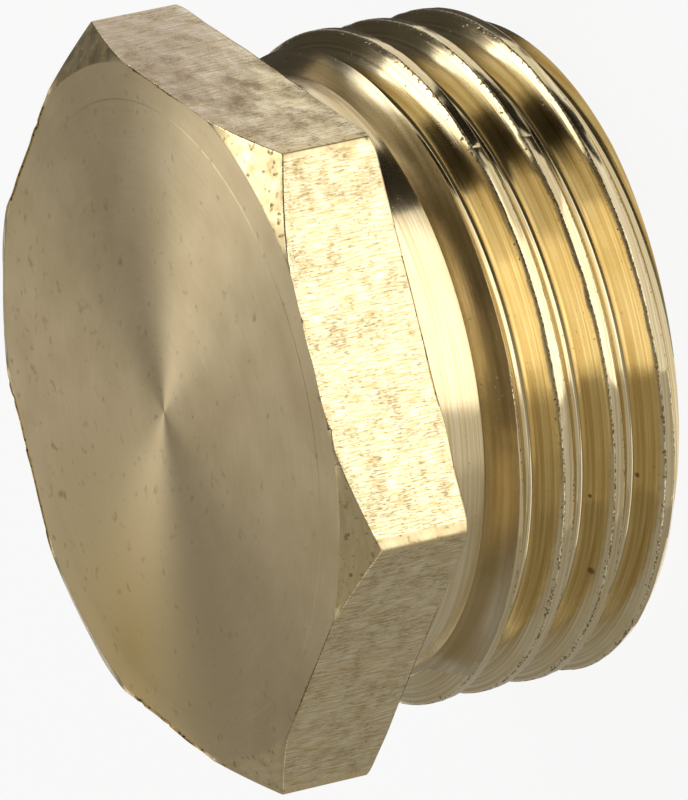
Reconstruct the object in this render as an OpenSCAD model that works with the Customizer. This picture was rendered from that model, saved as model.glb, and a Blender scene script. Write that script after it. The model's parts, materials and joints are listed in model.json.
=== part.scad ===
// Hexagon-head screw plug, turned in one piece from drawn brass bar.
// It stands on its threaded end: the origin is the centre of the end face and +Z runs up through the head.

/* [Head] */
// Width across the flats of the hexagon
across_flats = 18; // [17:0.5:24]
// Thickness of the head, from the seat to the turned face
head_h = 3.3; // [2:0.1:6]
// Diameter of the flat turned face inside the corner chamfer
face_d = 18.45; // [17.5:0.05:19.5]
// Slope of the corner chamfer, measured from the turned face
chamfer_angle = 30; // [15:1:40]
// Diameter of the circle at which the back corners are broken
back_circle_d = 20.3; // [19.5:0.1:20.7]
// Slope of the broken back corners, measured from the seat
back_angle = 30; // [15:1:45]

/* [Thread] */
// Major diameter over the crests, a little under the nominal size
thread_d = 17.9; // [14:0.1:20]
// Pitch of the right-hand thread
pitch = 1.5; // [1:0.25:2]
// Angle between the two flanks of the groove
flank_angle = 60; // [50:1:65]
// Width of the flat crest
crest_w = 0.28; // [0.1:0.02:0.4]
// Depth of the thread, crest to root
thread_depth = 0.86; // [0.4:0.02:0.9]
// Angle about the axis at which the thread groove starts
groove_angle = 130; // [0:5:355]

/* [Shank] */
// Length of the shank, from the seat to the end face
shank_l = 7.45; // [5.5:0.05:14]
// Diameter of the plain relief under the head
relief_d = 16; // [11:0.1:17]
// Width of the relief at its floor
relief_w = 1.72; // [1.2:0.02:3]
// Slope of the relief's far wall, measured from the axis
wall_angle = 62; // [45:1:88]
// Size of the 45 degree chamfer at the threaded end
end_chamfer = 0.62; // [0.2:0.02:1]

/* [Hidden] */
// Smoothness of the turned surfaces
$fn = 96;
// Flat steps in one turn of the thread
steps = 48;
// How far the cutting shapes reach past the surface that they cut
reach = 0.1;

total_h = shank_l + head_h;
corner_r = across_flats / 2 / cos(30);
face_r = face_d / 2;
back_r = back_circle_d / 2;
major_r = thread_d / 2;
relief_r = relief_d / 2;
root_r = major_r - thread_depth;

// Profile of the thread groove: its width at the root and at the cutter's outer edge
flank_run = tan(flank_angle / 2);
root_w = pitch - crest_w - 2 * thread_depth * flank_run;
cutter_r = major_r + reach;
mouth_w = root_w + 2 * (cutter_r - root_r) * flank_run;

// The groove starts inside the relief and runs out past the end face
groove_start = shank_l - mouth_w / 2 - reach;
groove_turns = ceil((groove_start + mouth_w) / pitch);

// Outline of the turned head, from the seat up, as wide as the hexagon's corners
module head_profile() {
    polygon([
        [0, shank_l],
        [back_r, shank_l],
        [corner_r + reach, shank_l + (corner_r + reach - back_r) * tan(back_angle)],
        [corner_r + reach, total_h - (corner_r + reach - face_r) * tan(chamfer_angle)],
        [face_r, total_h],
        [0, total_h]
    ]);
}

// Hexagon bar with a flat towards +X, turned to the head's outline
module head() {
    intersection() {
        rotate([0, 0, 30]) cylinder(r = corner_r, h = total_h, $fn = 6);
        rotate_extrude() head_profile();
    }
}

// Turned shank before threading: end chamfer, thread diameter, relief wall and relief
module shank_blank() {
    wall_z = shank_l - relief_w;
    crest_z = wall_z - (major_r - relief_r) / tan(wall_angle);
    rotate_extrude() polygon([
        [0, 0],
        [major_r - end_chamfer, 0],
        [major_r, end_chamfer],
        [major_r, crest_z],
        [relief_r, wall_z],
        [relief_r, shank_l + reach],
        [0, shank_l + reach]
    ]);
}

// Corners of the groove's section at one step of the helix, running right-handed down the shank
function groove_section(step) =
    let (
        angle = groove_angle - 360 * step / steps,
        z = groove_start - pitch * step / steps,
        place = function(r, dz) [r * cos(angle), r * sin(angle), z + dz]
    )
    [
        place(root_r, -root_w / 2),
        place(cutter_r, -mouth_w / 2),
        place(cutter_r, mouth_w / 2),
        place(root_r, root_w / 2)
    ];

// The helical groove that the threading tool leaves, as one closed solid
module thread_groove() {
    last = groove_turns * steps;
    points = [for (step = [0:last]) each groove_section(step)];
    sides = [
        for (step = [0:last - 1], edge = [0:3])
            let (a = 4 * step + edge, b = 4 * step + (edge + 1) % 4)
            each [[a, a + 4, b], [b, a + 4, b + 4]]
    ];
    ends = [[0, 1, 2, 3], [for (corner = [3:-1:0]) 4 * last + corner]];
    polyhedron(points, concat(sides, ends));
}

// The whole plug: head and threaded shank in one solid
module plug() {
    color("darkkhaki") union() {
        head();
        difference() {
            shank_blank();
            thread_groove();
        }
    }
}

plug();
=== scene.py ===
"""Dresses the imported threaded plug: a fine brass mesh with finishes, the floor, the light and the camera."""

import json
import math

import bmesh
import bpy
import numpy as np
from mathutils import Matrix, Vector


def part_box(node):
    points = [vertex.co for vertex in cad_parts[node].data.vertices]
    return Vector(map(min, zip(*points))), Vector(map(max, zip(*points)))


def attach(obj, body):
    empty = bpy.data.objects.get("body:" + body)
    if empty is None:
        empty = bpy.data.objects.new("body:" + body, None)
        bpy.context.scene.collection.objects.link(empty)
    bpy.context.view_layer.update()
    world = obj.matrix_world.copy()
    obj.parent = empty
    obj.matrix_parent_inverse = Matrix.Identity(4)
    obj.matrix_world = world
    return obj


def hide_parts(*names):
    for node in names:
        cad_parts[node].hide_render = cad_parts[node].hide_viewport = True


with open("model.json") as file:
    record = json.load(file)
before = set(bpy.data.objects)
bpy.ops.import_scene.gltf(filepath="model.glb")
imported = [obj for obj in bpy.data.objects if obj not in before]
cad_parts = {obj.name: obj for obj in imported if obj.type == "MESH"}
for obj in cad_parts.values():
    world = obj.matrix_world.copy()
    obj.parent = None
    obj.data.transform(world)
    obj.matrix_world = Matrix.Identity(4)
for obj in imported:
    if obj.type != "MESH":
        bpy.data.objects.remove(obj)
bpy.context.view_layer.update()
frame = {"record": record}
MM = 0.001

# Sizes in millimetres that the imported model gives
box_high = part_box("plug")[1]
mounts = {mount["name"]: mount for mount in frame["record"]["mounts"]}
FLAT_R = box_high.x / MM
TOTAL_H = box_high.z / MM
SEAT_Z = mounts["seat"]["pos_m"][2] / MM
RELIEF_R = mounts["seat"]["dims"]["hole_r_mm"]
MAJOR_R = mounts["male_thread"]["dims"]["r_mm"]

# Hexagon: degrees from flat to flat and from flat to corner, and what a rounded corner takes off a flat
FLAT_TURN = 60
HALF_TURN = 30
CORNER_ROUND = 0.1
CORNER_R = FLAT_R / math.cos(math.radians(HALF_TURN))
CORNER_RUN = CORNER_ROUND / math.tan(math.radians(FLAT_TURN))

# Turned form of the head, in millimetres and degrees
FACE_R = 9.225
CHAMFER_ANGLE = 30
BACK_R = 10.15
BACK_ANGLE = 30
EDGE_ROUND = 0.03
RING_R = 8.25
RING_STEP = 0.012
RING_ROUND = 0.004
FACE_CROWN = 0.08
SEAT_FILLET = 0.12

# Broken edges of the head: usual width, least share of it, and the nicks where the noise passes a limit
EDGE_BREAK = 0.06
LEAST_BREAK = 0.4
EDGE_NICK = 0.05
EDGE_NICK_FROM = 0.8
EDGE_NICK_SPAN = 0.2

# Relief and thread, in millimetres and degrees
RELIEF_W = 1.72
WALL_Z = SEAT_Z - RELIEF_W
WALL_ANGLE = 62
END_CHAMFER = 0.62
PITCH = 1.5
CREST_W = 0.28
THREAD_DEPTH = 0.86
FLANK_HALF_ANGLE = 30
FLANK_RISE = math.sin(math.radians(FLANK_HALF_ANGLE))
GROOVE_ANGLE = 130
GROOVE_DROP = 0.768
GROOVE_TOP_Z = SEAT_Z - GROOVE_DROP
CREST_ROUND = 0.03
ROOT_ROUND = 0.08
RIDGES = 6

# Nicks in the crest's two edges, where a mix of fine and broad noise passes a limit
NICK_DEPTH = 0.025
NICK_REACH = 0.12
NICK_FROM = 0.5
NICK_SPAN = 0.3
FINE_SHARE = 0.75
UPPER_EDGE_SEED = 13
LOWER_EDGE_SEED = 23

# How finely the mesh is divided, and how near its points merge, in millimetres and digits of a degree
COLUMNS_PER_FLAT = 80
CORNER_STEPS = 2
ARC_ROWS = 3
WALL_ROWS = 6
WALL_SAMPLES = 61
END_ROWS = 4
SHARP_ANGLE = 35
WELD = 0.0002
ANGLE_DIGITS = 6

# Largest share of a stretch that a rounded end takes, a length safe to divide by, and the noise's blur
MAX_CUT = 0.4
TINY = 1e-9
NOISE_BLUR = 6

# Order of the finishes on the mesh
FACE, CHAMFER, EDGES, FLATS, RELIEF, WALL, FLANKS, CRESTS = range(8)

# Finish and rows of each stretch of the head's profile, from the relief to the middle of the face
HEAD_STRETCHES = [
    (RELIEF, 6),
    (WALL, 5),
    (CHAMFER, 2),
    (FLATS, 8),
    (CHAMFER, 4),
    (FACE, 2),
    (FACE, 1),
    (FACE, 14),
]

# Stretches of the head's profile that are broken edges, counted from the relief
BACK_BREAK, FRONT_BREAK = 2, 4

# Finish and rows of each stretch of one pitch of the thread, from crest to crest
THREAD_STRETCHES = [(CRESTS, 1), (FLANKS, 6), (FLANKS, 1), (FLANKS, 5), (CRESTS, 1)]

# Patterns of the finishes: where most of a noise lies, its detail, and how pits crowd and roughen
NOISE_LOW, NOISE_HIGH = 0.35, 0.65
LINE_DETAIL = 3.0
SPECK_DETAIL = 1.0
CLOUD_DETAIL = 4.0
LEAST_CROWD = 0.3
PIT_ROUGHNESS = 0.15
QUARTER_TURN = 0.25

# The studio in millimetres, and the share of plain white that the paper shows
FLOOR_R = 700
FLOOR_SIDES = 96
PAPER_LIFT = 0.9
CARD_LIFT = 0.05
PLUG_MIDDLE = (0, 0, 5)
DARK_FROM, DARK_TO = -0.3, 0.35


def column_angles():
    """Angles of the mesh's columns in radians, from -180 to 180 degrees, closer together at the corners."""
    even = np.arange(-180, 180, FLAT_TURN / COLUMNS_PER_FLAT)
    reach = math.degrees(CORNER_RUN * math.sin(math.radians(FLAT_TURN)) / CORNER_R)
    offsets = reach * np.arange(-CORNER_STEPS, CORNER_STEPS + 1) / CORNER_STEPS
    corners = (np.arange(HALF_TURN - 180, 180, FLAT_TURN)[:, None] + offsets).ravel()
    every = np.unique(np.round(np.concatenate([even, corners]), ANGLE_DIGITS))
    return np.radians(np.append(every, 180.0))


def hexagon_radius(angles):
    """Distance from the axis to the hexagon, with its six corners rounded."""
    from_flat = (np.degrees(angles) + HALF_TURN) % FLAT_TURN - HALF_TURN
    plain = FLAT_R / np.cos(np.radians(from_flat))
    from_corner = np.radians(HALF_TURN - np.abs(from_flat))
    slope = math.radians(FLAT_TURN)
    centre = CORNER_R - CORNER_ROUND / math.sin(slope)
    inside = np.maximum(CORNER_ROUND**2 - (centre * np.sin(from_corner)) ** 2, 0)
    fillet = centre * np.cos(from_corner) + np.sqrt(inside)
    limit = math.atan2(CORNER_RUN * math.sin(slope), CORNER_R - CORNER_RUN * math.cos(slope))
    return np.where(from_corner <= limit, fillet, plain)


def rounded_profile(points, rounds, rows):
    """Rows of (radius, height) along a polyline with rounded corners, and the stretch that each row is on.

    points are (radius, height) pairs of arrays over the columns, rounds the length cut off at each inner
    corner, rows the number of steps along each stretch.
    """
    corners = [np.stack(np.broadcast_arrays(r, z)).astype(float) for r, z in points]
    shape = np.broadcast_shapes(*[corner.shape for corner in corners])
    corners = [np.broadcast_to(corner, shape) for corner in corners]
    lengths = [np.maximum(np.hypot(*(b - a)), TINY) for a, b in zip(corners, corners[1:])]
    starts, ends, arcs = [corners[0]], [], []
    for index in range(1, len(corners) - 1):
        before, after = lengths[index - 1], lengths[index]
        corner = corners[index]
        cut = np.minimum(rounds[index - 1], MAX_CUT * np.minimum(before, after))
        enter = corner + (corners[index - 1] - corner) * cut / before
        leave = corner + (corners[index + 1] - corner) * cut / after
        steps = np.arange(1, ARC_ROWS) / ARC_ROWS
        arcs.append([enter * (1 - t) ** 2 + corner * 2 * t * (1 - t) + leave * t**2 for t in steps])
        ends.append(enter)
        starts.append(leave)
    ends.append(corners[-1])
    made, stretch = [], []
    for index, (start, end) in enumerate(zip(starts, ends)):
        for step in range(rows[index]):
            made.append(start + (end - start) * step / rows[index])
            stretch.append(index)
        made.append(end)
        stretch.append(index)
        if index < len(arcs):
            made.extend(arcs[index])
            stretch.extend([index] * len(arcs[index]))
    return made, stretch


def smooth_noise(count, width, seed):
    """A closed ring of random values from 0 to 1, smoothed over about width columns."""
    values = np.random.default_rng(seed).random(count)
    turn = np.fft.rfftfreq(count)
    smooth = np.fft.irfft(np.fft.rfft(values) * np.exp(-((turn * width) ** 2) * NOISE_BLUR), count)
    return (smooth - smooth.min()) / (smooth.max() - smooth.min())


def ring_noise(angles, width, seed):
    """smooth_noise over the mesh's columns, equal in the first and last column, which meet."""
    values = smooth_noise(len(angles) - 1, width, seed)
    return np.append(values, values[0])


def head_rows(angles):
    """Rows from the foot of the relief over the seat, the hexagon and the chamfer to the face's centre."""
    hexagon = hexagon_radius(angles)
    chips = ring_noise(angles, width=1, seed=3)
    nicks = EDGE_NICK * np.clip((chips - EDGE_NICK_FROM) / EDGE_NICK_SPAN, 0, 1)
    front_break = EDGE_BREAK * (LEAST_BREAK + ring_noise(angles, width=4, seed=1)) + nicks
    back_break = EDGE_BREAK * (LEAST_BREAK + ring_noise(angles, width=6, seed=2))
    chamfer_slope = math.tan(math.radians(CHAMFER_ANGLE))
    chamfer_drop = (hexagon - FACE_R) * chamfer_slope
    back_rise = (hexagon - BACK_R) * math.tan(math.radians(BACK_ANGLE))
    rim_z = TOTAL_H - FACE_CROWN - RING_STEP
    points = [
        (RELIEF_R, np.full_like(angles, WALL_Z)),
        (RELIEF_R, np.full_like(angles, SEAT_Z)),
        (np.minimum(hexagon - back_break, BACK_R), SEAT_Z),
        (hexagon, SEAT_Z + np.maximum(back_rise, back_break)),
        (hexagon, TOTAL_H - np.maximum(chamfer_drop, front_break)),
        (np.minimum(hexagon - front_break, FACE_R), rim_z),
        (RING_R + RING_STEP / chamfer_slope, np.full_like(angles, rim_z)),
        (RING_R, np.full_like(angles, TOTAL_H - FACE_CROWN)),
        (0.0, np.full_like(angles, TOTAL_H)),
    ]
    rounds = [SEAT_FILLET, EDGE_ROUND, EDGE_ROUND, EDGE_ROUND, EDGE_ROUND, RING_ROUND, RING_ROUND]
    rows, stretch = rounded_profile(points, rounds, [count for _, count in HEAD_STRETCHES])
    plain = np.array([finish for finish, _ in HEAD_STRETCHES])[stretch]
    finishes = np.repeat(plain[:, None], len(angles), axis=1)
    at_corner = CORNER_R - hexagon < CORNER_ROUND
    broken = (np.array(stretch) == FRONT_BREAK) | (np.array(stretch) == BACK_BREAK)
    finishes[np.ix_(plain == FLATS, at_corner)] = CHAMFER
    finishes[np.ix_(broken, hexagon < FACE_R)] = EDGES
    return rows, finishes


def thread_section():
    """One pitch of the thread from crest to crest: heights, radii and the finish of each step."""
    run = THREAD_DEPTH * math.tan(math.radians(FLANK_HALF_ANGLE))
    root = MAJOR_R - THREAD_DEPTH
    half = CREST_W / 2
    points = [
        (MAJOR_R, 0.0),
        (MAJOR_R, half),
        (root, half + run),
        (root, PITCH - half - run),
        (MAJOR_R, PITCH - half),
        (MAJOR_R, PITCH),
    ]
    rounds = [CREST_ROUND, ROOT_ROUND, ROOT_ROUND, CREST_ROUND]
    rows, stretch = rounded_profile(points, rounds, [count for _, count in THREAD_STRETCHES])
    section = np.array(rows)
    return section[:-1, 1], section[:-1, 0], [THREAD_STRETCHES[index][0] for index in stretch[:-1]]


def crest_height(angle):
    """Height of the middle of the helix's crest at an angle in radians, near the top of the groove."""
    return GROOVE_TOP_Z + PITCH / 2 + PITCH * (angle - math.radians(GROOVE_ANGLE)) / (2 * math.pi)


def thread_radius(height, angle):
    """Radius of the endless thread at a height and angle."""
    heights, radii, _ = thread_section()
    step = (height - crest_height(angle)) % PITCH
    return np.interp(step, np.append(heights, PITCH), np.append(radii, MAJOR_R))


def wall_radius(height):
    """Radius of the sloping wall between the relief and the first ridge."""
    return RELIEF_R + (WALL_Z - height) * math.tan(math.radians(WALL_ANGLE))


def chamfer_radius(height):
    """Radius of the turned blank at the threaded end: the end chamfer, then the thread diameter."""
    return np.minimum(MAJOR_R - END_CHAMFER + height, MAJOR_R)


def wall_edge(angles):
    """Height at which the relief wall runs out into the thread, column by column."""
    lowest = WALL_Z - (MAJOR_R - RELIEF_R) / math.tan(math.radians(WALL_ANGLE))
    heights = np.linspace(WALL_Z, lowest, WALL_SAMPLES)[:, None]
    spare = thread_radius(heights, angles) - wall_radius(heights)
    below = np.argmax(np.append(spare[:-1] <= 0, np.ones_like(spare[-1:], bool), axis=0), axis=0)
    column = np.arange(len(angles))
    above = spare[below - 1, column]
    share = np.clip(above / np.maximum(above - spare[below, column], TINY), 0, 1)
    return heights[below - 1, 0] + share * (heights[below, 0] - heights[below - 1, 0])


def worn_edges(angles, seed):
    """Depth of the nicks along one edge of the crest, for each ridge of the unrolled helix."""
    columns = len(angles) - 1
    length = columns * (RIDGES + 3)
    fine = smooth_noise(length, width=3, seed=seed)
    broad = smooth_noise(length, width=30, seed=seed + 1)
    wear = FINE_SHARE * fine + (1 - FINE_SHARE) * broad
    depth = NICK_DEPTH * np.clip((wear - NICK_FROM) / NICK_SPAN, 0, 1)
    return np.array([depth[columns * ridge:columns * (ridge + 1) + 1] for ridge in range(RIDGES + 2)])


def thread_rows(angles):
    """Rows that follow the helix, cut off by the end face, the end chamfer and the relief wall.

    With the rows come the finish of each row and how far the thread stands out of the turned blank.
    """
    heights, _, finishes = thread_section()
    first = crest_height(angles) - PITCH * RIDGES
    helix_z = np.array([first + PITCH * ridge + height for ridge in range(RIDGES + 1) for height in heights])
    z = np.clip(helix_z, 0, wall_edge(angles))
    spare = thread_radius(z, angles) - chamfer_radius(z)
    for row in range(len(z) - 1):
        here, there = spare[row], spare[row + 1]
        crossing = (here * there < 0) & (z[row + 1] > z[row])
        share = np.where(crossing, here / np.where(crossing, here - there, 1), 0)
        meet = z[row] + share * (z[row + 1] - z[row])
        z[row] = np.where(crossing & (share < 0.5), meet, z[row])
        z[row + 1] = np.where(crossing & (share >= 0.5), meet, z[row + 1])
    r = np.minimum(thread_radius(z, angles), chamfer_radius(z))
    turns = (z - first) / PITCH
    ridge = np.floor(turns + 0.5).astype(int)
    column = np.arange(len(angles))
    upper = worn_edges(angles, UPPER_EDGE_SEED)[ridge, column]
    lower = worn_edges(angles, LOWER_EDGE_SEED)[ridge, column]
    nick = np.where(turns >= ridge, upper, lower)
    r -= nick * np.clip((r - MAJOR_R + NICK_REACH) / NICK_REACH, 0, 1)
    rows = [np.stack([r[row], z[row]]) for row in range(len(z))]
    return rows, finishes * (RIDGES + 1), spare


def add_grid(build, rows, angles, finish_of):
    """Adds the faces between neighbouring rows to the mesh, with the finish that finish_of gives."""
    rings = []
    for r, z in rows:
        places = np.stack([r * np.cos(angles), r * np.sin(angles), z], axis=1) * MM
        rings.append([build.verts.new(place) for place in places])
    for row in range(len(rings) - 1):
        low, high = rings[row], rings[row + 1]
        for column in range(len(angles) - 1):
            face = build.faces.new((low[column], low[column + 1], high[column + 1], high[column]))
            face.material_index = finish_of(row, column)
            face.smooth = True


def plug_mesh():
    """The whole plug as one closed mesh: end face, thread, relief and head."""
    angles = column_angles()
    build = bmesh.new()
    rows, finishes, spare = thread_rows(angles)

    def thread_finish(row, column):
        """The thread's own finish, or the turned one where the end chamfer has cut the thread off."""
        threaded = spare[row:row + 2, column].mean() < 0
        return finishes[row] if threaded else RELIEF

    add_grid(build, rows, angles, thread_finish)
    end_edge, (wall_r, wall_z) = rows[0][0], rows[-1]
    steps = np.arange(WALL_ROWS + 1) / WALL_ROWS
    wall = [np.stack([wall_r + (RELIEF_R - wall_r) * t, wall_z + (WALL_Z - wall_z) * t]) for t in steps]
    add_grid(build, wall, angles, lambda row, column: WALL)
    flat = np.zeros_like(angles)
    end_rows = [np.stack([end_edge * step / END_ROWS, flat]) for step in range(END_ROWS + 1)]
    add_grid(build, end_rows, angles, lambda row, column: RELIEF)
    rows, head_finishes = head_rows(angles)
    add_grid(build, rows, angles, lambda row, column: int(head_finishes[row, column]))
    bmesh.ops.remove_doubles(build, verts=build.verts, dist=WELD * MM)
    bmesh.ops.recalc_face_normals(build, faces=build.faces)
    mesh = bpy.data.meshes.new("turned_plug")
    build.to_mesh(mesh)
    build.free()
    mesh.set_sharp_from_angle(angle=math.radians(SHARP_ANGLE))
    return mesh


def linear(hex_colour):
    """An sRGB hex colour as linear RGBA."""
    values = [int(hex_colour[start:start + 2], 16) / 255 for start in (1, 3, 5)]
    return [v / 12.92 if v <= 0.04045 else ((v + 0.055) / 1.055) ** 2.4 for v in values] + [1.0]


def add(tree, kind, inputs=None, **settings):
    """Adds one shader node: settings by name, and inputs as plain values or as sockets to link from."""
    made = tree.nodes.new("ShaderNode" + kind)
    for name, value in settings.items():
        setattr(made, name, value)
    for name, value in (inputs or {}).items():
        if isinstance(value, bpy.types.NodeSocket):
            tree.links.new(value, made.inputs[name])
        else:
            made.inputs[name].default_value = value
    return made


def brass_finish(name, tones, marks, line, cloud, pit, roughness, anisotropy):
    """One finish of the brass: fine tool lines, soft clouds of tarnish and dark pits.

    tones are the bright, dull, tarnished and pitted colours. marks says whether the lines run round the
    axis, as turned, along the helix, as threaded, or along the axis, as drawn. Sizes and depths are in
    millimetres. A pit shows where its noise passes a limit, which falls from the sparse to the dense value
    as the clouds thicken, from one x to another, or within reach of the crest's edges. A cloud's painted
    shade is a place round which the tarnish colour thickens as painted shade, and its scuff a place round
    which its own pattern shows more.
    """
    material = bpy.data.materials.new(name)
    material.use_nodes = True
    tree = material.node_tree
    shader = tree.nodes["Principled BSDF"]

    # Place in millimetres, and the surface unrolled round the axis
    place = add(tree, "TexCoord")
    place = add(tree, "VectorMath", {0: place.outputs["Object"], "Scale": 1 / MM}, operation="SCALE")
    axes = add(tree, "SeparateXYZ", {0: place.outputs[0]})
    spoke = add(tree, "CombineXYZ", {0: axes.outputs[0], 1: axes.outputs[1]})
    radius = add(tree, "VectorMath", {0: spoke.outputs[0]}, operation="LENGTH")
    profile = add(tree, "Math", {0: radius.outputs["Value"], 1: axes.outputs[2]}, operation="ADD")
    if marks == "threaded":
        angle = add(tree, "Math", {0: axes.outputs[1], 1: axes.outputs[0]}, operation="ARCTAN2")
        climb = -PITCH / (2 * math.pi)
        turned = angle.outputs[0]
        helix = add(tree, "Math", {0: turned, 1: climb, 2: axes.outputs[2]}, operation="MULTIPLY_ADD")
        crest = crest_height(0.0)
        step = add(tree, "Math", {0: helix.outputs[0], 1: crest + PITCH, 2: crest}, operation="WRAP")
        profile = add(tree, "Math", {0: step.outputs[0], 1: 1 / FLANK_RISE}, operation="MULTIPLY")
    turn = add(tree, "VectorMath", {0: spoke.outputs[0]}, operation="NORMALIZE")
    turn = add(tree, "VectorMath", {0: turn.outputs[0], "Scale": MAJOR_R}, operation="SCALE")
    rise = add(tree, "CombineXYZ", {2: profile.outputs[0]})
    unrolled = add(tree, "VectorMath", {0: turn.outputs[0], 1: rise.outputs[0]}, operation="ADD")

    # Noise of the tool lines, the specks and the clouds
    way = place.outputs[0] if marks == "drawn" else unrolled.outputs[0]
    across, along = 1 / line["spacing"], 1 / line["length"]
    stretch = (across, across, along) if marks == "drawn" else (along, along, across)
    scaled = add(tree, "VectorMath", {0: way, 1: stretch}, operation="MULTIPLY").outputs[0]
    lines = add(tree, "TexNoise", {"Vector": scaled, "Scale": 1.0, "Detail": LINE_DETAIL}).outputs["Fac"]
    scaled = add(tree, "VectorMath", {0: place.outputs[0], 1: pit["size"]}, operation="DIVIDE").outputs[0]
    specks = add(tree, "TexNoise", {"Vector": scaled, "Scale": 1.0, "Detail": SPECK_DETAIL}).outputs["Fac"]
    scaled = add(tree, "VectorMath", {0: place.outputs[0], 1: cloud["size"]}, operation="DIVIDE").outputs[0]
    waves = add(tree, "TexNoise", {"Vector": scaled, "Scale": 1.0, "Detail": CLOUD_DETAIL}).outputs["Fac"]
    clouds = add(tree, "MapRange", {"Value": waves, "From Min": NOISE_LOW, "From Max": NOISE_HIGH}).outputs[0]

    # Pits, which crowd together in some places
    crowd = clouds
    if "x" in pit:
        first, last = pit["x"]
        ramp = add(tree, "MapRange", {"Value": axes.outputs[0], "From Min": first, "From Max": last})
        crowd = ramp.outputs[0]
    if "reach" in pit:
        middle = add(tree, "Math", {0: helix.outputs[0], 1: crest}, operation="SUBTRACT")
        middle = add(tree, "Math", {0: middle.outputs[0], 1: PITCH / 2}, operation="PINGPONG")
        edge = add(tree, "Math", {0: middle.outputs[0], 1: CREST_W / 2}, operation="SUBTRACT")
        edge = add(tree, "Math", {0: edge.outputs[0]}, operation="ABSOLUTE")
        near = add(tree, "MapRange", {"Value": edge.outputs[0], "From Min": pit["reach"], "From Max": 0.0})
        patch = add(tree, "MapRange", {"Value": clouds, "To Min": LEAST_CROWD, "To Max": 1.0})
        crowd = add(tree, "Math", {0: near.outputs[0], 1: patch.outputs[0]}, operation="MULTIPLY").outputs[0]
    limit = add(tree, "MapRange", {"Value": crowd, "To Min": pit["sparse"], "To Max": pit["dense"]})
    pits = add(tree, "Math", {0: specks, 1: limit.outputs[0]}, operation="SUBTRACT").outputs[0]
    pits = add(tree, "MapRange", {"Value": pits, "From Min": 0.0, "From Max": pit["soft"]}).outputs[0]
    for *middle, reach in pit.get("spots", ()):
        far = add(tree, "VectorMath", {0: place.outputs[0], 1: middle}, operation="DISTANCE").outputs["Value"]
        spot = add(tree, "MapRange", {"Value": far, "From Min": reach, "From Max": reach / 2})
        pits = add(tree, "Math", {0: pits, 1: spot.outputs[0]}, operation="MAXIMUM").outputs[0]

    # Strength of the streaks, the tarnish with the face's painted shade, and the dirt
    streaks = add(tree, "MapRange", {"Value": lines, "From Min": NOISE_LOW, "From Max": NOISE_HIGH})
    streaks = add(tree, "Math", {0: streaks.outputs[0], 1: line["tone"]}, operation="MULTIPLY").outputs[0]
    tarnish_and_painted_shade = add(tree, "Math", {0: clouds, 1: cloud["tone"]}, operation="MULTIPLY").outputs[0]
    if "scuff" in cloud:
        far = add(tree, "VectorMath", {0: place.outputs[0], 1: cloud["scuff"]}, operation="DISTANCE")
        scuff = add(tree, "MapRange", {
            "Value": far.outputs["Value"],
            "From Min": cloud["reach"],
            "From Max": 0.0,
            "To Min": cloud["tone"],
            "To Max": 1.0,
        })
        tarnish_and_painted_shade = add(tree, "Math", {0: clouds, 1: scuff.outputs[0]}, operation="MULTIPLY").outputs[0]
    # Painted shade: round this point the tarnished colour thickens, darkening the surface as if less light
    # fell there
    if "painted_shade" in cloud:
        far = add(tree, "VectorMath", {0: place.outputs[0], 1: cloud["painted_shade"]}, operation="DISTANCE")
        far = far.outputs["Value"]
        painted_shade = add(tree, "MapRange", {"Value": far, "From Min": cloud["reach"], "From Max": 0.0})
        tarnish_and_painted_shade = add(tree, "Math", {0: tarnish_and_painted_shade, 1: painted_shade.outputs[0]}, operation="MAXIMUM").outputs[0]
    dirt = add(tree, "Math", {0: pits, 1: pit["tone"]}, operation="MULTIPLY").outputs[0]

    # Colour, roughness and relief of the surface
    bright, dull, tarnished, pitted = [linear(tone) for tone in tones]
    colour = add(tree, "Mix", {0: streaks, 6: bright, 7: dull}, data_type="RGBA")
    # The tarnished colour carries the tarnish clouds and, on the face, the painted shade
    colour = add(tree, "Mix", {0: tarnish_and_painted_shade, 6: colour.outputs[2], 7: tarnished}, data_type="RGBA")
    colour = add(tree, "Mix", {0: dirt, 6: colour.outputs[2], 7: pitted}, data_type="RGBA")
    rough = add(tree, "MapRange", {"Value": clouds, "To Min": roughness[0], "To Max": roughness[1]})
    rough = add(tree, "Math", {0: pits, 1: PIT_ROUGHNESS, 2: rough.outputs[0]}, operation="MULTIPLY_ADD")
    dents = add(tree, "Math", {0: waves, 1: cloud["depth"]}, operation="MULTIPLY")
    ridge = add(tree, "Math", {0: lines, 1: line["depth"], 2: dents.outputs[0]}, operation="MULTIPLY_ADD")
    height = add(tree, "Math", {0: pits, 1: -pit["depth"], 2: ridge.outputs[0]}, operation="MULTIPLY_ADD")
    bump = add(tree, "Bump", {"Height": height.outputs[0], "Distance": MM, "Strength": 1.0})
    tangent = add(tree, "Tangent", direction_type="RADIAL", axis="Z")
    shader.inputs["Metallic"].default_value = 1.0
    shader.inputs["Anisotropic"].default_value = anisotropy
    shader.inputs["Anisotropic Rotation"].default_value = 0.0 if marks == "drawn" else QUARTER_TURN
    surface = {
        "Base Color": colour.outputs[2],
        "Roughness": rough.outputs[0],
        "Normal": bump.outputs[0],
        "Tangent": tangent.outputs[0],
    }
    for socket, source in surface.items():
        tree.links.new(source, shader.inputs[socket])
    return material


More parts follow.
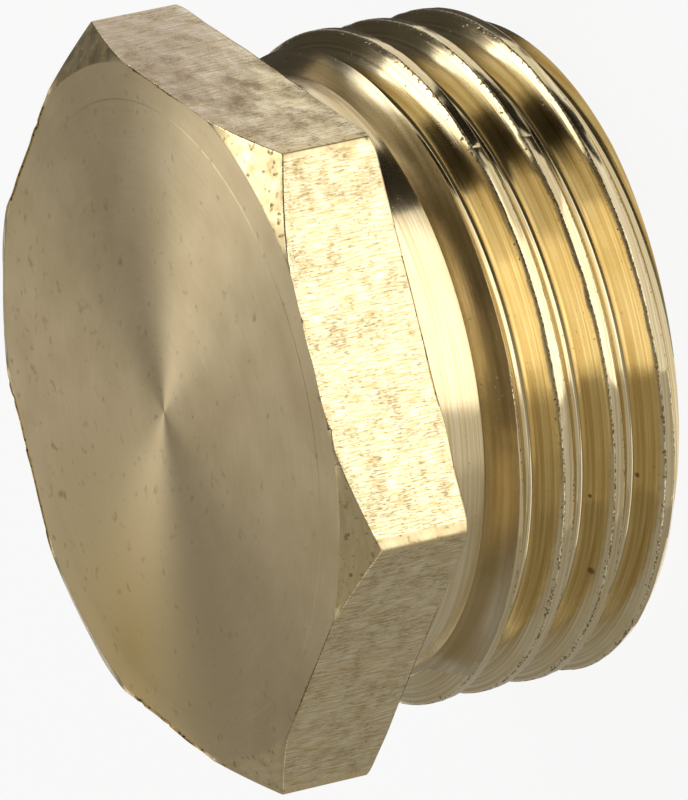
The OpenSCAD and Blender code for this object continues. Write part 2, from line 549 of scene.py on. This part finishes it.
def brass_finishes():
    """The eight finishes, in the order of the mesh's numbers.

    Tool lines, die streaks and the grain of the crests are finer on a real plug. They are drawn as coarse
    as they need to be to show in the render.
    """
    return [
        # Faced brass: rings of the facing tool spread every light into soft wedges, with faint pits, and
        # painted shade that darkens the face round x -5.5, y -5.5 mm
        brass_finish(
            "faced_brass", ("#e8d5ae", "#dcc89e", "#b09a68", "#6e5a38"), marks="turned",
            line={"spacing": 0.08, "length": 2.0, "depth": 0.0005, "tone": 0.35},
            cloud={"size": (1.8, 1.8, 1.8), "depth": 0.0, "tone": 0.25,
                   "painted_shade": (-5.5, -5.5, TOTAL_H), "reach": 7.5},
            pit={"size": (0.32, 0.32, 0.32), "depth": 0.004, "tone": 0.36, "soft": 0.2,
                 "sparse": 0.7, "dense": 0.62, "x": (12.0, -10.0)},
            roughness=(0.45, 0.48), anisotropy=0.75),
        # Chamfered brass: brighter and yellower than the face, with soft brown spots
        brass_finish(
            "chamfered_brass", ("#ebdab0", "#d8c08a", "#cdb47c", "#6a5428"), marks="turned",
            line={"spacing": 0.06, "length": 0.6, "depth": 0.0015, "tone": 0.7},
            cloud={"size": (0.5, 0.5, 0.5), "depth": 0.01, "tone": 0.5},
            pit={"size": (0.18, 0.18, 0.18), "depth": 0.006, "tone": 0.65, "soft": 0.16,
                 "sparse": 0.68, "dense": 0.57},
            roughness=(0.28, 0.4), anisotropy=0.4),
        # Handled brass edges: the breaks hold brown tarnish, which draws the hexagon with a thin dark line
        brass_finish(
            "tarnished_edge_brass", ("#c8ae74", "#a4894f", "#94783f", "#46361b"), marks="turned",
            line={"spacing": 0.06, "length": 0.2, "depth": 0.003, "tone": 0.8},
            cloud={"size": (0.6, 0.6, 0.6), "depth": 0.0, "tone": 0.7},
            pit={"size": (0.14, 0.14, 0.14), "depth": 0.006, "tone": 0.85, "soft": 0.12,
                 "sparse": 0.6, "dense": 0.46},
            roughness=(0.4, 0.5), anisotropy=0.2),
        # Drawn brass: the die leaves fine pale streaks along the bar, over dents with golden-brown scale
        brass_finish(
            "drawn_brass", ("#f5e9c6", "#ccb072", "#967c50", "#947c4a"), marks="drawn",
            line={"spacing": 0.05, "length": 0.5, "depth": 0.005, "tone": 0.9},
            cloud={"size": (0.9, 0.9, 0.5), "depth": 0.04, "tone": 0.2,
                   "scuff": (5.4, 7.3, 9.1), "reach": 6.0},
            pit={"size": (0.05, 0.05, 0.16), "depth": 0.004, "tone": 0.55, "soft": 0.2,
                 "sparse": 0.64, "dense": 0.46},
            roughness=(0.17, 0.27), anisotropy=0.3),
        # Finish-turned brass: nearly polished, so it mirrors the studio in bands with hair-fine rings
        brass_finish(
            "finish_turned_brass", ("#efe0bc", "#d0b884", "#dcc694", "#6e5629"), marks="turned",
            line={"spacing": 0.06, "length": 9.0, "depth": 0.002, "tone": 0.9},
            cloud={"size": (2.0, 2.0, 2.0), "depth": 0.0, "tone": 0.4},
            pit={"size": (0.1, 0.1, 0.1), "depth": 0.003, "tone": 0.6, "soft": 0.1,
                 "sparse": 0.8, "dense": 0.72},
            roughness=(0.12, 0.18), anisotropy=0.3),
        # Grooved brass: wall and seat mirror each other and look brown, with rings of the tool
        brass_finish(
            "grooved_brass", ("#e3d6ba", "#c1b089", "#c9ba95", "#5e4a22"), marks="turned",
            line={"spacing": 0.07, "length": 9.0, "depth": 0.0015, "tone": 0.9},
            cloud={"size": (1.6, 1.6, 1.6), "depth": 0.0, "tone": 0.4},
            pit={"size": (0.1, 0.1, 0.1), "depth": 0.003, "tone": 0.6, "soft": 0.1,
                 "sparse": 0.78, "dense": 0.7},
            roughness=(0.16, 0.24), anisotropy=0.3),
        # Screw-cut brass: flanks mirror each other, so the colour deepens to gold, with lines along the cut
        brass_finish(
            "screw_cut_brass", ("#f0e3be", "#c5ab74", "#d6c08a", "#4e3c1a"), marks="threaded",
            line={"spacing": 0.08, "length": 9.0, "depth": 0.0015, "tone": 0.9},
            cloud={"size": (1.6, 1.6, 1.6), "depth": 0.0, "tone": 0.4},
            pit={"size": (0.1, 0.1, 0.1), "depth": 0.003, "tone": 0.75, "soft": 0.1,
                 "sparse": 0.74, "dense": 0.42, "reach": 0.1,
                 "spots": [(5.35, -6.71, 2.53, 0.14), (6.8, -4.62, 1.31, 0.09), (6.73, -4.88, 2.75, 0.07)]},
            roughness=(0.13, 0.19), anisotropy=0.4),
        # Worn crest brass: rubbed pale and grainy, with brown dirt along its ragged edges
        brass_finish(
            "worn_crest_brass", ("#fbf2d8", "#d8be86", "#ccb47c", "#54401c"), marks="threaded",
            line={"spacing": 0.05, "length": 0.08, "depth": 0.003, "tone": 0.8},
            cloud={"size": (0.7, 0.7, 0.7), "depth": 0.0, "tone": 0.5},
            pit={"size": (0.07, 0.07, 0.07), "depth": 0.003, "tone": 0.75, "soft": 0.1,
                 "sparse": 0.62, "dense": 0.38, "reach": 0.08},
            roughness=(0.26, 0.4), anisotropy=0.1),
    ]


def white_paper():
    """Matt white paper: the camera and the brass see it lifted to white, and it keeps the soft shadow."""
    material = bpy.data.materials.new("white_paper")
    material.use_nodes = True
    tree = material.node_tree
    tree.nodes.clear()
    paper = add(tree, "BsdfDiffuse", {"Color": linear("#f2f2f0")})
    glow = add(tree, "Emission", {"Color": (1, 1, 1, 1), "Strength": 1.0})
    path = add(tree, "LightPath").outputs
    seen = add(tree, "Math", {0: path["Is Camera Ray"], 1: path["Is Glossy Ray"]}, operation="MAXIMUM")
    seen = add(tree, "Math", {0: seen.outputs[0], 1: path["Is Transmission Ray"]}, operation="MAXIMUM")
    share = add(tree, "Math", {0: seen.outputs[0], 1: PAPER_LIFT}, operation="MULTIPLY")
    mixed = add(tree, "MixShader", {0: share.outputs[0], 1: paper.outputs[0], 2: glow.outputs[0]})
    add(tree, "OutputMaterial", {"Surface": mixed.outputs[0]})
    return material


def studio_floor():
    """A plain round floor under the threaded end."""
    bpy.ops.mesh.primitive_circle_add(
        vertices=FLOOR_SIDES, radius=FLOOR_R * MM, fill_type="NGON", location=(0, 0, 0))
    floor = bpy.context.object
    floor.name = "floor"
    floor.data.materials.append(white_paper())


def painted_reflection_card(name, tone, corners):
    """A glowing sheet of even tone beside the plug, hidden from the camera, from diffuse light and from
    shadows, so it shows only as a painted reflection in the brass.
    """
    mesh = bpy.data.meshes.new(name)
    mesh.from_pydata([(x * MM, y * MM, CARD_LIFT * MM) for x, y in corners], [], [range(len(corners))])
    material = bpy.data.materials.new(name)
    material.use_nodes = True
    tree = material.node_tree
    tree.nodes.clear()
    # The sheet glows at its own tone though it is no lamp: painted light or painted shade, for reflections
    # only
    even = add(tree, "Emission", {"Color": linear(tone), "Strength": 1.0})
    add(tree, "OutputMaterial", {"Surface": even.outputs[0]})
    mesh.materials.append(material)
    card = bpy.data.objects.new(name, mesh)
    card.visible_camera = False
    card.visible_diffuse = False
    card.visible_shadow = False
    card.visible_transmission = False
    bpy.context.scene.collection.objects.link(card)


def softbox(name, place, aim, width, height, level):
    """A soft light at a place in millimetres that faces a point. level is its radiance, where 1 is white."""
    light = bpy.data.lights.new(name, "AREA")
    light.shape = "RECTANGLE"
    light.size = width * MM
    light.size_y = height * MM
    light.energy = level * math.pi * width * height * MM * MM
    lamp = bpy.data.objects.new(name, light)
    lamp.location = Vector(place) * MM
    lamp.rotation_mode = "QUATERNION"
    lamp.rotation_quaternion = (Vector(place) - Vector(aim)).to_track_quat("Z", "Y")
    lamp.visible_camera = False
    bpy.context.scene.collection.objects.link(lamp)


def surround():
    """An even grey surround that grows darker on the +Y side, where the studio has no light."""
    world = bpy.data.worlds.new("studio")
    world.use_nodes = True
    tree = world.node_tree
    way = add(tree, "TexCoord")
    axes = add(tree, "SeparateXYZ", {0: way.outputs["Generated"]})
    side = add(tree, "MapRange", {"Value": axes.outputs[1], "From Min": DARK_FROM, "From Max": DARK_TO})
    lit, unlit = linear("#9a9894"), linear("#484642")
    tone = add(tree, "Mix", {0: side.outputs[0], 6: lit, 7: unlit}, data_type="RGBA")
    tree.links.new(tone.outputs[2], tree.nodes["Background"].inputs["Color"])
    bpy.context.scene.world = world


def studio_light():
    """Two light panels that lie in front of the plug, two soft boxes behind it and one beside it."""
    softbox("front_panel", (33, 3.5, 1.2), aim=(30.5, 3.5, 50), width=21, height=35, level=0.95)
    softbox("foot_panel", (13, 0.5, 0.6), aim=(12.9, 0.5, 50), width=8, height=6, level=0.8)
    softbox("rim_box", (-46, 80, 123), aim=PLUG_MIDDLE, width=70, height=77, level=3.0)
    softbox("back_box", (-93, 27, 120), aim=PLUG_MIDDLE, width=75, height=75, level=1.0)
    softbox("side_box", (44, -121, 86), aim=PLUG_MIDDLE, width=110, height=80, level=0.9)
    surround()


def painted_reflection_cards():
    """Painted reflections: glowing sheets on the floor, seen only in the brass, that give it the dark, grey
    and pale bands of the photograph.

    Their corners are (x, y) in millimetres, outside the plug's footprint.
    """
    # The black and shade sheets paint dark reflections; the rose, pale, near and grey sheets paint pale ones
    painted_reflection_card("painted_reflection_black", "#24221f", [
        (9.1, 4.1), (9.9, 7), (10.2, 10.4), (12.8, 10.9), (15.6, 13.6), (30, 33), (8, 33),
        (7.6, 16.5), (4.9, 12.5), (7, 9.3), (7.9, 5.9),
    ])
    painted_reflection_card("painted_reflection_shade", "#504e4a", [
        (6.3, 7.3), (3.3, 10.5), (-0.5, 12.1), (-4, 16), (-30, 20.5), (-60, 20.5), (-60, 8),
        (-9, 4), (-6.5, 7), (-2, 9.3), (2.5, 9.2),
    ])
    painted_reflection_card("painted_reflection_rose", "#d0ccd8", [(-4, 20), (-7, 45), (-60, 60), (-60, 24), (-30, 22.5)])
    painted_reflection_card("painted_reflection_pale", "#d6d4d0", [(16.5, -5.9), (50, -22), (50, -50), (20, -22), (14.5, -11)])
    painted_reflection_card("painted_reflection_near", "#b8b6b2", [
        (9.3, -2.6), (16.4, -5.9), (14.4, -11), (16.3, -15), (10, -15), (8.1, -9.5), (7.2, -6.7), (7.2, -5.6),
    ])
    painted_reflection_card("painted_reflection_grey", "#a09e9a", [
        (16.4, -15.1), (20, -22.1), (50, -50.1), (60, -60), (-60, -60), (-60, -5), (-9, -4),
        (-6.5, -7), (-2, -9.3), (2.5, -9), (5.5, -7.3), (7.1, -5.8), (8, -9.5), (9.9, -15.1),
    ])


def photo_camera():
    """A long lens at the photograph's viewing angle, with the head to the left of the picture."""
    data = bpy.data.cameras.new("camera")
    data.sensor_width = 36.0
    data.lens = 510.0
    data.clip_start = 0.01
    data.clip_end = 2.0
    camera = bpy.data.objects.new("camera", data)
    # Place in millimetres and directions, fitted to the hexagon's corners in the photograph
    eye = Vector((265.22, -16.71, 137.52)) * MM
    right = Vector((0.4206, -0.24048, -0.87479))
    ahead = Vector((-0.89405, 0.05399, -0.4447))
    back = -ahead.normalized()
    up = back.cross(right).normalized()
    right = up.cross(back)
    turn = Matrix((right, up, back)).transposed()
    camera.matrix_world = Matrix.Translation(eye) @ turn.to_4x4()
    bpy.context.scene.collection.objects.link(camera)
    bpy.context.scene.camera = camera


plug = bpy.data.objects.new("turned_plug", plug_mesh())
bpy.context.scene.collection.objects.link(plug)
for finish in brass_finishes():
    plug.data.materials.append(finish)
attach(plug, "root")
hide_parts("plug")

studio_floor()
studio_light()
painted_reflection_cards()
photo_camera()
bpy.context.scene.view_settings.view_transform = "Standard"
